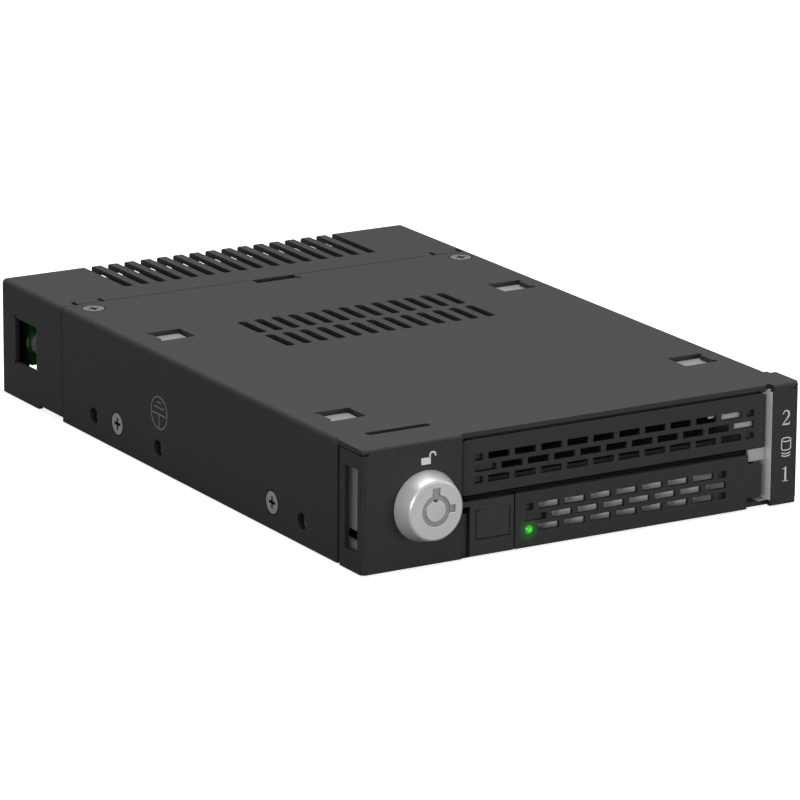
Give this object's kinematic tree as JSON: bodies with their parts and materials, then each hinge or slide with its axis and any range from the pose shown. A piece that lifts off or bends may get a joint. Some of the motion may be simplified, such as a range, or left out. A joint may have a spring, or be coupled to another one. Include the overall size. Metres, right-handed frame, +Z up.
{
  "type": "hot swap drive cage",
  "caption": "Flat black drive cage that fills a 3.5 inch bay: two front bays for thin drives, a tray with a perforated swing lever, dust flaps and a round key lock.",
  "frame": {"origin": "middle of the width, on the plane of the front panels, on the underside", "axes": "+X to the right seen from the front, +Y from the front to the back, +Z up"},
  "size_m": [0.1032, 0.1594, 0.0254],
  "materials": {
    "painted_steel": "matt black powder coat with a fine grain",
    "bare_steel": "bare zinc-plated sheet",
    "lock_metal": "satin nickel",
    "plated_steel": "bright zinc",
    "black_plastic": "fine moulded texture",
    "connector_plastic": "glass-filled plastic",
    "green_board": "solder mask",
    "green_lens": "clear tinted lens, lit"
  },
  "bodies": {
    "chassis": {"top_cover": "painted_steel", "bottom_cover": "painted_steel", "rear_cover": "painted_steel", "left_rail": "bare_steel", "right_rail": "bare_steel", "left_bay_wall": "bare_steel", "right_bay_wall": "bare_steel", "bay_divider": "bare_steel", "lock_body": "lock_metal", "lock_nut": "plated_steel", "upper_flap_pin": "plated_steel", "backplane_board": "green_board", "link_board": "green_board", "rear_board": "green_board", "lower_receptacle": "connector_plastic", "upper_receptacle": "connector_plastic", "data_plug_1": "connector_plastic", "data_plug_2": "connector_plastic", "power_plug": "connector_plastic", "side_screws": "plated_steel", "top_screws": "plated_steel", "backplane_screws": "plated_steel", "rear_board_screws": "plated_steel", "board_spacers": "plated_steel"},
    "lock_core": {"lock_plug": "lock_metal", "lock_cam": "plated_steel", "cam_screw": "plated_steel"},
    "tray": {"tray_frame": "bare_steel", "end_block": "black_plastic", "button_spring": "plated_steel", "lever_pin": "plated_steel", "light_pipe": "green_lens"},
    "lever_arm": {"lever": "painted_steel", "led_lens": "green_lens"},
    "button": {"release_button": "black_plastic"},
    "upper_door": {"upper_flap": "painted_steel"},
    "lower_door": {"lower_flap": "painted_steel"}
  },
  "joints": [
    {"name": "tray_slide", "type": "slide", "parent": "chassis", "child": "tray", "axis": [0, -1, 0], "range_m": [0, 0.11]},
    {"name": "lever_swing", "type": "hinge", "parent": "tray", "child": "lever_arm", "pos_m": [0.043, 0.0024, 0.00585], "axis": [0, 0, 1], "range_deg": [0, 80]},
    {"name": "button_press", "type": "slide", "parent": "tray", "child": "button", "axis": [0, 1, 0], "range_m": [0, 0.0012], "stiffness_N_per_m": 400, "springref_m": -0.001, "deforming": ["button_spring"]},
    {"name": "lock_turn", "type": "hinge", "parent": "chassis", "child": "lock_core", "pos_m": [-0.0365, 0, 0.0122], "axis": [0, 1, 0], "range_deg": [0, 90]},
    {"name": "upper_flap_swing", "type": "hinge", "parent": "chassis", "child": "upper_door", "pos_m": [0, 0.0029, 0.0232], "axis": [1, 0, 0], "range_deg": [0, 88], "stiffness_Nm_per_rad": 0.001, "springref_deg": -17.19},
    {"name": "lower_flap_swing", "type": "hinge", "parent": "chassis", "child": "lower_door", "pos_m": [0, 0.0029, 0.01135], "axis": [1, 0, 0], "range_deg": [0, 2.5]}
  ]
}
